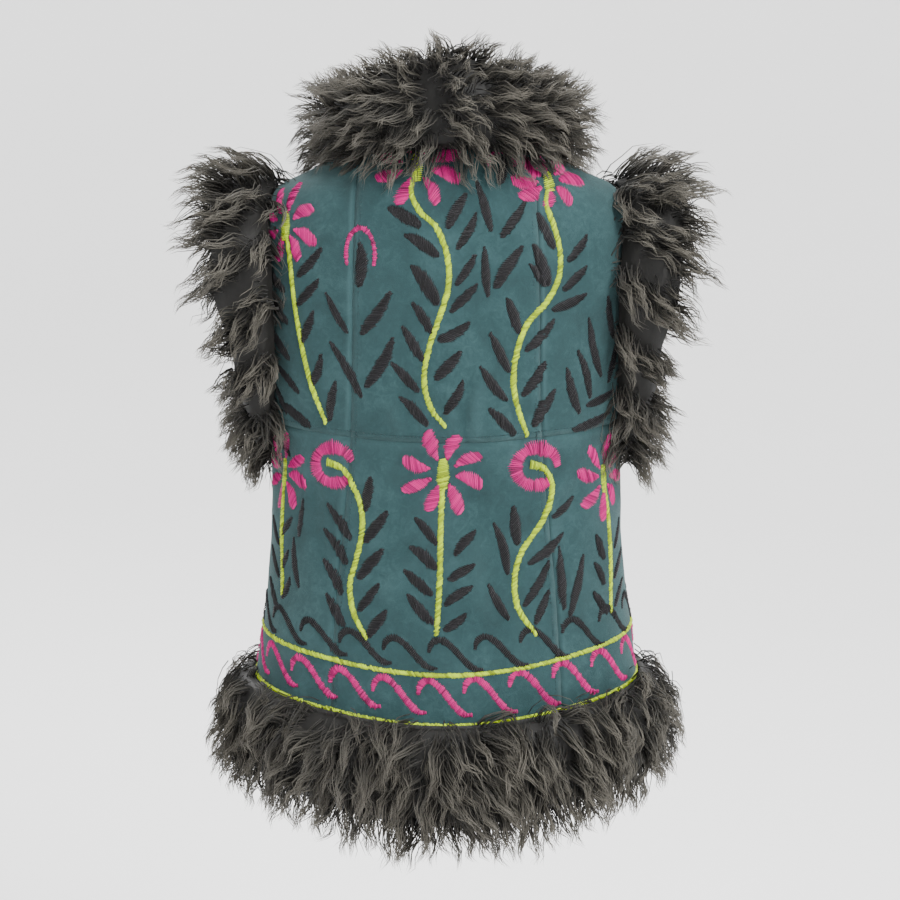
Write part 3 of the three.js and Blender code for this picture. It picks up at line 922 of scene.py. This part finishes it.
def hair_tubes(centre, side, other, radius, t, tones):
    """Closed tubes round the hairs' lines: three corners a ring, a point at the tip."""
    total, rings = radius.shape
    angles = np.array([0, 2, 4]) * math.pi / 3
    reach = radius[:, :-1, None, None]
    body = (centre[:, :-1, None, :]
            + side[:, :-1, None, :] * (reach * np.cos(angles)[None, None, :, None])
            + other[:, :-1, None, :] * (reach * np.sin(angles)[None, None, :, None]))
    per = 3 * (rings - 1) + 1
    points = np.concatenate([body.reshape(total, -1, 3), centre[:, -1:, :]], 1).reshape(-1, 3)
    first = (np.arange(total) * per)[:, None, None]
    ring = np.arange(rings - 2)[None, :, None] * 3
    k = np.arange(3)[None, None, :]
    a, b = first + ring + k, first + ring + (k + 1) % 3
    sides = np.stack([a, b, b + 3, a + 3], -1).reshape(-1, 4)
    last = first[:, :, 0] + 3 * (rings - 2)
    tip = first[:, :, 0] + per - 1
    corners = np.concatenate([np.stack([last + i, last + (i + 1) % 3, tip], -1)
                              for i in range(3)], 1)
    root = np.stack([first[:, 0, 0] + 2, first[:, 0, 0] + 1, first[:, 0, 0]], -1)
    fade = np.concatenate([np.repeat(t[:-1], 3), t[-1:]])
    tip_value = np.tile(fade, total)
    tone = np.repeat(tones, per)
    return points, [sides, corners.reshape(-1, 3), root], tip_value, tone


def closed_body(outlines, closed):
    """Underfur: closed outlines (count, corners, 3) joined one after another, ends capped by
    fans."""
    count, corners = outlines.shape[:2]
    at = np.arange(count * corners).reshape(count, corners)
    following = np.roll(at, -1, 0) if closed else at[1:]
    here = at if closed else at[:-1]
    faces = [np.stack([here, following, np.roll(following, -1, 1), np.roll(here, -1, 1)], -1)
             .reshape(-1, 4)]
    points = outlines.reshape(-1, 3)
    if not closed:
        middles = outlines[[0, -1]].mean(1)
        points = np.concatenate([points, middles])
        for row, centre, turn in ((at[0], len(points) - 2, 1), (at[-1], len(points) - 1, -1)):
            fan = np.stack([row, np.roll(row, -1), np.full_like(row, centre)], -1)
            faces.append(fan[:, ::turn])
    return points, face_out(points, faces)


def roots_on(body, closed, corners, count, rng):
    """Evenly scattered points on the underfur between two of its outline's corners, read straight
    between the four nearest points, with the direction that faces out of the body there, their
    place along the strip (0 to 1) and their place round the outline."""
    rows, sides = body.shape[:2]
    spans = rows if closed else rows - 1
    across = np.linalg.norm(np.diff(body[:, corners[0]:corners[1] + 1], axis=1), axis=-1).mean(0)
    share = np.concatenate([[0], np.cumsum(across)]) / across.sum()
    k = np.arange(count) + rng.uniform(0, 1)
    along = (0.004 + 0.992 * (k * SCATTER[0] % 1)) * spans
    corner = np.interp(k * SCATTER[1] % 1, share, np.arange(corners[0], corners[1] + 1))
    i, j = along.astype(int), np.minimum(corner.astype(int), corners[1] - 1)
    u, v = (along - i)[:, None], (corner - j)[:, None]
    after = (i + 1) % rows
    p, q, r, w = body[i, j], body[i, (j + 1) % sides], body[after, j], body[after, (j + 1) % sides]
    root = (1 - u) * ((1 - v) * p + v * q) + u * ((1 - v) * r + v * w)
    normal = unit(np.cross(r - p + w - q, q - p + w - r))
    middle = body[i].mean(1)
    normal *= np.sign(((root - middle) * normal).sum(-1, keepdims=True))
    return root, normal, along / spans, corner


def fur_piece(name, body, closed, locks, hairs, options, material, rng, curl=1.0, spread=5.0,
              holds=None):
    """One strip of fur: its underfur body and its hair in one mesh, standing for its solid."""
    roots, normals, comb, lengths = locks
    centre, side, other, radius, t, lock = lay_fur(
        roots, normals, comb, lengths, hairs, options, rng, curl, spread)
    if holds is not None:
        centre = holds(centre)
    tones = (0.5 + 0.22 * rng.standard_normal(len(roots)))[lock]
    tones = tones + 0.12 * rng.standard_normal(len(lock))
    hair, hair_faces, tip, tone = hair_tubes(centre, side, other, radius, t, tones)
    hair_faces = face_out(hair, hair_faces)
    base, base_faces = closed_body(body, closed)
    points = np.concatenate([base, hair])
    faces = base_faces + [f + len(base) for f in hair_faces]
    # the underfur body gets tip 0 and a low tone (0.2), so it takes the darkest root colour: partly
    # the fur's dark dye, partly painted shade deep in the fur
    tip = np.concatenate([np.zeros(len(base)), tip])
    tone = np.concatenate([np.full(len(base), 0.2), tone])
    piece = make_piece(name, points, faces, material, {"tip": tip, "tone": tone})
    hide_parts(name)
    return piece


# ---------------------------------------------------------------- properties and operators

class VestCloth(bpy.types.PropertyGroup):
    """Suede and thread."""

    suede_colour: FloatVectorProperty(
        name="Suede", description="Dye of the suede", subtype="COLOR", size=3,
        default=linear("#172f31")[:3])
    lime_colour: FloatVectorProperty(
        name="Lime thread", description="Stems and border lines", subtype="COLOR", size=3,
        default=linear("#8aa002")[:3])
    pink_colour: FloatVectorProperty(
        name="Pink thread", description="Petals and lower scrolls", subtype="COLOR", size=3,
        default=linear("#98035a")[:3])
    black_colour: FloatVectorProperty(
        name="Black thread", description="Leaves and upper scrolls", subtype="COLOR", size=3,
        default=linear("#09080b")[:3])
    thread_crown: FloatProperty(
        name="Thread height", description="How high the satin stitch stands on the suede",
        default=0.0009, unit="LENGTH")


class VestFur(bpy.types.PropertyGroup):
    """Long-haired trim."""

    fur_colour: FloatVectorProperty(
        name="Fur", description="Middle of the hair", subtype="COLOR", size=3,
        default=linear("#2b2924")[:3])
    fur_tip_colour: FloatVectorProperty(
        name="Fur tips", description="Bleached tips of the hair", subtype="COLOR", size=3,
        default=linear("#68645b")[:3])
    hair_width: FloatProperty(
        name="Hair width", description="Width of a drawn strand, some twenty real hairs",
        default=0.00125, unit="LENGTH")
    clumping: FloatProperty(
        name="Clumping", description="How far the hairs of a lock close up at its tip",
        default=0.72, min=0, max=1, subtype="FACTOR")
    hairs: IntProperty(
        name="Hairs in a lock", description="Strands drawn in each lock", default=13)


def generator(offset):
    return np.random.default_rng(SEED + offset)


def cloth():
    return bpy.context.scene.vest_cloth


def fur():
    return bpy.context.scene.vest_fur


def shared(make, name, *arguments):
    """A material made once and shared by every piece of the same stuff."""
    found = bpy.data.materials.get(name)
    return found if found else make(*arguments)


class VEST_OT_back(bpy.types.Operator):
    """Six suede pieces of the back: yoke and lower back, each a centre and two sides"""

    bl_idname = "vest.back"
    bl_label = "Back"

    def execute(self, context):
        suede = shared(suede_material, "brushed_teal_suede", cloth())
        lower, upper = np.linspace(0, 1, 56), np.linspace(1, 2, 66)
        inner, outer = long_seam_line(-1), long_seam_line(1)
        for level, rows, shift in (("yoke", upper, GAP / 2), ("lower", lower, -GAP / 2)):
            suede_panel(f"back_{level}_centre", 40, rows, minus(inner), inner, shift, suede)
            suede_panel(f"back_{level}_right", 26, rows, outer, back_edge, shift, suede)
            suede_panel(f"back_{level}_left", 26, rows, minus(back_edge), minus(outer), shift,
                        suede)
        return {"FINISHED"}


class VEST_OT_fronts(bpy.types.Operator):
    """The two suede fronts, which meet edge to edge"""

    bl_idname = "vest.fronts"
    bl_label = "Fronts"

    def execute(self, context):
        suede = shared(suede_material, "brushed_teal_suede", cloth())
        rows = np.concatenate([np.linspace(0, 1, 44), np.linspace(1, 2, 54)[1:]])
        suede_panel("front_right", 44, rows, front_edge, front_closing, 0, suede)
        suede_panel("front_left", 44, rows, minus(front_closing), minus(front_edge), 0, suede)
        return {"FINISHED"}


class VEST_OT_embroidery(bpy.types.Operator):
    """Satin-stitch flowers, leaves, scrolls and border lines"""

    bl_idname = "vest.embroidery"
    bl_label = "Embroidery"

    def execute(self, context):
        options = cloth()
        rng = generator(1)
        work = lay_embroidery(rng)
        crown = options.thread_crown / MM
        stuffs = {
            "lime": thread_material("lime_cotton_thread", options.lime_colour, 0.5),
            "pink": thread_material("pink_cotton_thread", options.pink_colour, 0.45),
            "black": thread_material("black_cotton_thread", options.black_colour, 0.5),
        }
        for name, rows in work.items():
            rows = keep_on_suede(np.concatenate(rows))
            lift = crown + (0.35 if name == "lime" else 0.0)
            points, faces, tone = threads_mesh(rows, lift, rng)
            make_piece(f"embroidery_{name}", points, faces, stuffs[name], {"tone": tone})
        return {"FINISHED"}


class VEST_OT_topstitching(bpy.types.Operator):
    """Rows of fine stitches beside the seams of the back"""

    bl_idname = "vest.topstitching"
    bl_label = "Topstitching"

    def execute(self, context):
        rng = generator(2)
        thread = thread_material("teal_sewing_thread", linear("#14282b")[:3], 0.6)
        points, faces, tone = threads_mesh(keep_on_suede(topstitching(rng)), 0.35, rng)
        make_piece("topstitching", points, faces, thread, {"tone": tone})
        return {"FINISHED"}


def collar_frame(turn):
    """Neckline point, outward direction and sizes of the collar at a turn."""
    t = np.abs(turn)
    neck = neck_line(turn)
    side = np.sin(t) ** 2
    front = smooth((t - RIGHT) / RIGHT)
    tall = mix(mix(98, 74, side), 52, front)
    out = 52 * mix(mix(1, 0.88, side), 0.72, front)
    base = form(turn, neck)
    away = np.stack([np.sin(turn), -np.cos(turn), 0 * turn], -1)
    return base, away, tall, out, side, front


class VEST_OT_collar(bpy.types.Operator):
    """Standing fur collar, open at the front"""

    bl_idname = "vest.collar"
    bl_label = "Collar"

    def execute(self, context):
        options, rng = fur(), generator(3)
        end = math.pi - math.radians(6)
        base, away, tall, out, side, front = collar_frame(np.linspace(-end, end, 97))
        up = np.array([0, 0, 1.0])
        profile = [(0.06, 0.03), (-0.06, 0.3), (-0.12, 0.6), (-0.02, 0.78), (0.2, 0.78),
                   (0.42, 0.58), (0.5, 0.28), (0.42, 0.02), (0.2, -0.06), (0.1, -0.04)]
        body = np.stack([base + away * (u * out)[:, None] + up * (v * tall)[:, None]
                         for u, v in profile], 1)
        roots, normals, along, corner = roots_on(body, False, (1, 8), 510, rng)
        turn = mix(-end, end, along)
        base, away, tall, out, side, front = collar_frame(turn)
        level = ((roots - base)[:, 2] / tall)
        within = smooth((3 - corner) / 1.5)
        sideways = np.stack([np.cos(turn), np.sin(turn), 0 * turn], -1)
        swirl = (0.6 * np.sin(turn * 2.3 + 1.0) + 0.45 * np.sign(turn)
                 + 0.5 * np.sin(turn * 9 + 6 * level))
        comb = unit(away * (0.5 - 0.5 * within)[:, None] + up * (1.7 * (level - 0.4))[:, None]
                    + sideways * swirl[:, None] * 0.5)
        lengths = (mix(40, 54, rng.random(len(turn))) * mix(1, 0.8, front) * mix(1, 0.5, within)
                   * mix(0.62, 1.0, np.clip(corner / 8 + 0.35, 0, 1)))
        lengths *= mix(1, 0.72, smooth((level - 0.55) / 0.2))
        locks = roots, normals, comb, lengths
        fur_piece("collar_fur", body, False, locks, options.hairs, options,
                  shared(fur_material, "long_haired_sheepskin", options), rng, curl=1.1)
        return {"FINISHED"}


class VEST_OT_armholes(bpy.types.Operator):
    """Fur round both armholes"""

    bl_idname = "vest.armholes"
    bl_label = "Armhole fur"

    def execute(self, context):
        options = fur()
        for hand, name in ((1, "armhole_fur_right"), (-1, "armhole_fur_left")):
            rng = generator(5 + hand)
            body, locks = armhole_layout(330, hand, rng)
            fur_piece(name, body, True, locks, options.hairs, options,
                      shared(fur_material, "long_haired_sheepskin", options), rng)
        return {"FINISHED"}


def armhole_frame(angle):
    """Edge point, outward and edgeways directions, and reaches of the armhole fur at an angle."""
    turn, height = arm_edge(angle, 0.2)
    edge = form(turn, height)
    along = unit(form(*arm_edge(angle, 1.2)) - edge)
    aside = unit(outward(turn, height) * 0.35 + np.array([0.65, 0, 0]))
    low = (1 - np.cos(angle)) / 2
    foot, top = smooth((low - 0.72) / 0.28), smooth((0.34 - low) / 0.34)
    flank = smooth((low - 0.36) / 0.34)
    reach = mix(mix(100, 66, flank), 36, foot)
    outer = mix(mix(30, 10, top), 60, foot)
    inner = mix(mix(12, 34, top), 6, foot)
    droop = mix(mix(22, 44, top), 6, foot)
    return edge, along, aside, reach, outer, inner, droop, foot, top


def armhole_layout(count, hand, rng):
    """Underfur ring and locks of one armhole; the left is the mirror of the right."""
    angle = np.linspace(0, 2 * math.pi, 97)[:-1]
    edge, along, aside, reach, outer, inner, droop, foot, top = armhole_frame(angle)
    down = np.array([0, 0, -1.0])

    def at(u, v, k=slice(None)):
        w = np.where(v > 0, v * outer, v * inner)
        return (edge + aside * (u * reach)[:, None] + along * w[:, None]
                + down * (droop * u * u)[:, None])

    profile = [(0.02, -0.5), (0.03, 0.1), (0.06, 0.35), (0.26, 0.5), (0.46, 0.4), (0.56, 0.05),
               (0.5, -0.4), (0.24, -0.6)]
    body = np.stack([at(u, v) for u, v in profile], 1)
    roots, normals, along_ring, _ = roots_on(body, True, (0, 7), count, rng)
    angle = 2 * math.pi * along_ring
    edge, along, aside, reach, outer, inner, droop, foot, top = armhole_frame(angle)
    far = np.clip(((roots - edge) * aside).sum(-1) / reach, 0, 0.6)
    hang = mix(0.7, 1.25, foot)
    comb = unit(aside * (0.95 - 0.45 * foot)[:, None] + along * 0.1 + normals * 0.45
                + down * hang[:, None])
    lengths = reach * mix(0.46, 0.6, rng.random(count)) * mix(1, 2.4, foot) * (1.15 - 0.4 * far)
    if hand < 0:
        body = body * np.array([-1, 1, 1])
        roots, normals, comb = (p * np.array([-1, 1, 1]) for p in (roots, normals, comb))
    return body, (roots, normals, comb, lengths)


class VEST_OT_hem(bpy.types.Operator):
    """Deep fur hem in three strips: back, left front and right front"""

    bl_idname = "vest.hem"
    bl_label = "Hem fur"

    def execute(self, context):
        options = fur()
        seam, end = GAP / 2 / 180, math.pi - FRONT_GAP / 2 / 120
        strips = (("hem_fur_back", -RIGHT + seam, RIGHT - seam, 505, 0),
                  ("hem_fur_right", RIGHT + seam, end, 140, 1),
                  ("hem_fur_left", -end, -RIGHT - seam, 140, 2))
        for name, start, stop, count, offset in strips:
            rng = generator(8 + offset)
            body, locks = hem_layout(start, stop, count, rng)
            fur_piece(name, body, False, locks, options.hairs, options,
                      shared(fur_material, "long_haired_sheepskin", options), rng, curl=1.25,
                      spread=5.5)
        return {"FINISHED"}


def hem_layout(start, stop, count, rng):
    """Underfur strip and locks between two turns."""
    up = np.array([0, 0, 1.0])

    def place(turn, u, v):
        edge = hem_line(turn)
        tall = mix(96, 114, back_share(turn))
        d = 0.01
        side = form(turn + d, edge) - form(turn - d, edge)
        away = unit(np.cross(side, up))
        return form(turn, edge) + away * np.asarray(u)[..., None] + up * (v * tall)[..., None], away

    turns = np.linspace(start, stop, 80)
    profile = [(-WALL, -0.01), (-WALL, -0.4), (0, -0.66), (10, -0.74), (20, -0.64), (24, -0.4),
               (22, -0.12), (14, 0.05), (3.0, 0.08), (3.0, -0.01)]
    body = np.stack([place(turns, np.full_like(turns, u), np.full_like(turns, v))[0]
                     for u, v in profile], 1)
    roots, normals, along, _ = roots_on(body, False, (1, 9), count, rng)
    turn = mix(start, stop, along)
    v = np.clip((hem_line(turn) - roots[:, 2]) / 100, 0, 0.8)
    away = place(turn, 0 * turn, 0 * turn)[1]
    inside = (((roots - place(turn, 0 * turn, 0 * turn)[0]) * away).sum(-1) < 3) & (v > 0.06)
    sideways = np.stack([np.cos(turn), np.sin(turn), 0 * turn], -1)
    drift = 0.45 * np.sin(turn * 3.1 + 0.6) + 0.4 * np.sin(turn * 9.3)
    lean = np.where(inside, 0.05, 0.26 - 0.14 * v)
    comb = unit(away * lean[:, None] - up * (0.8 + 0.5 * v)[:, None] + sideways * drift[:, None])
    normals = np.where(inside[:, None], normals * 0.4 - up, 0.5 * normals)
    lengths = mix(48, 66, rng.random(count)) * mix(0.78, 1.0, back_share(turn)) * mix(1, 0.78, v)
    lengths = np.where(inside, 0.6 * lengths, lengths)
    return body, (roots, normals, comb, lengths)


class VEST_OT_stage(bpy.types.Operator):
    """Pale floor that rises all round, soft lights and the camera"""

    bl_idname = "vest.stage"
    bl_label = "Stage"

    def execute(self, context):
        scene = context.scene
        stage_floor()
        world = bpy.data.worlds.new("studio")
        scene.world = world
        world.use_nodes = True
        background = world.node_tree.nodes["Background"]
        background.inputs["Color"].default_value = (1.0, 1.0, 1.0, 1)
        background.inputs["Strength"].default_value = 1.5
        lights = (
            ("key", (1.7, -2.3, 1.6), 1.3, 210),
            ("fill", (-2.6, -1.8, 0.5), 2.2, 25),
            ("back", (-0.8, 2.6, 1.8), 2.0, 90),
            ("top", (0.3, -0.2, 2.4), 1.6, 70),
        )
        for name, place, size, power in lights:
            data = bpy.data.lights.new(name, "AREA")
            data.shape = "DISK"
            data.size, data.energy = size, power
            lamp = bpy.data.objects.new(name, data)
            scene.collection.objects.link(lamp)
            lamp.location = place
            aim_at(lamp, (0, 0, -0.28))
        camera = bpy.data.objects.new("camera", bpy.data.cameras.new("camera"))
        scene.collection.objects.link(camera)
        camera.data.lens, camera.data.sensor_width = 110.2, 36.0
        elevation, distance, target = math.radians(10), 2.6, (0.0034, 0, -0.280)
        camera.location = (target[0], target[1] - distance * math.cos(elevation),
                           target[2] + distance * math.sin(elevation))
        aim_at(camera, target)
        scene.camera = camera
        return {"FINISHED"}


def aim_at(item, target):
    """Turns a lamp or the camera so that its -Z looks at a point."""
    heading = Vector(target) - item.location
    item.rotation_euler = heading.to_track_quat("-Z", "Y").to_euler()


def stage_floor():
    """Backdrop: a round floor whose rim rises in a smooth curve to a wall on every side."""
    radius = np.array([0, 1.0, 2.0, 3.0, 3.8, 4.5, 5.0, 5.3, 5.4, 5.4])
    level = np.array([0, 0, 0, 0, 0.08, 0.35, 0.85, 1.6, 2.6, 5.0]) - 1.15
    turns = np.linspace(0, 2 * math.pi, 65)[:-1]
    ring = np.stack([radius[1:, None] * np.cos(turns), radius[1:, None] * np.sin(turns),
                     level[1:, None] + 0 * turns], -1) / MM
    points = np.concatenate([[[0, 0, level[0] / MM]], ring.reshape(-1, 3)])
    at = 1 + np.arange(ring.shape[0] * 64).reshape(-1, 64)
    after = np.roll(at, -1, 1)
    sides = np.stack([at[:-1], at[1:], after[1:], after[:-1]], -1).reshape(-1, 4)
    centre = np.stack([np.zeros(64, int), at[0], after[0]], -1)
    material, tree, shader = start_material("painted_studio_floor")
    place = add(tree, "ShaderNodeTexCoord").outputs["Object"]
    mottle = add(tree, "ShaderNodeTexNoise", {"Scale": 3.0, "Detail": 2.0}, {"Vector": place})
    colour = ramp(tree, mottle.outputs["Fac"], [(0.0, linear("#f4f4f4")), (1.0, linear("#f8f8f8"))])
    tree.links.new(colour, shader.inputs["Base Color"])
    shader.inputs["Roughness"].default_value = 0.9
    mesh = bpy.data.meshes.new("backdrop")
    mesh.from_pydata((points * MM).tolist(), [], sides.tolist() + centre.tolist())
    mesh.polygons.foreach_set("use_smooth", np.ones(len(mesh.polygons), bool))
    mesh.materials.append(material)
    floor = bpy.data.objects.new("backdrop", mesh)
    bpy.context.scene.collection.objects.link(floor)


class VEST_PT_panel(bpy.types.Panel):
    """Lists the vest's settings and builders"""

    bl_idname = "VEST_PT_panel"
    bl_label = "Folk vest"
    bl_space_type = "VIEW_3D"
    bl_region_type = "UI"
    bl_category = "Vest"

    def draw(self, context):
        for group in (context.scene.vest_cloth, context.scene.vest_fur):
            box = self.layout.box()
            for name in group.bl_rna.properties.keys():
                if name not in ("rna_type", "name"):
                    box.prop(group, name)
        for builder in BUILDERS:
            self.layout.operator(builder.bl_idname)


BUILDERS = (VEST_OT_back, VEST_OT_fronts, VEST_OT_embroidery, VEST_OT_topstitching, VEST_OT_collar,
            VEST_OT_armholes, VEST_OT_hem, VEST_OT_stage)
CLASSES = (VestCloth, VestFur, *BUILDERS, VEST_PT_panel)


def register():
    for item in CLASSES:
        bpy.utils.register_class(item)
    bpy.types.Scene.vest_cloth = PointerProperty(type=VestCloth)
    bpy.types.Scene.vest_fur = PointerProperty(type=VestFur)


def unregister():
    del bpy.types.Scene.vest_fur
    del bpy.types.Scene.vest_cloth
    for item in reversed(CLASSES):
        bpy.utils.unregister_class(item)


def main():
    register()
    bpy.ops.vest.back()
    bpy.ops.vest.fronts()
    bpy.ops.vest.embroidery()
    bpy.ops.vest.topstitching()
    bpy.ops.vest.collar()
    bpy.ops.vest.armholes()
    bpy.ops.vest.hem()
    bpy.ops.vest.stage()


if __name__ == "__main__":
    main()
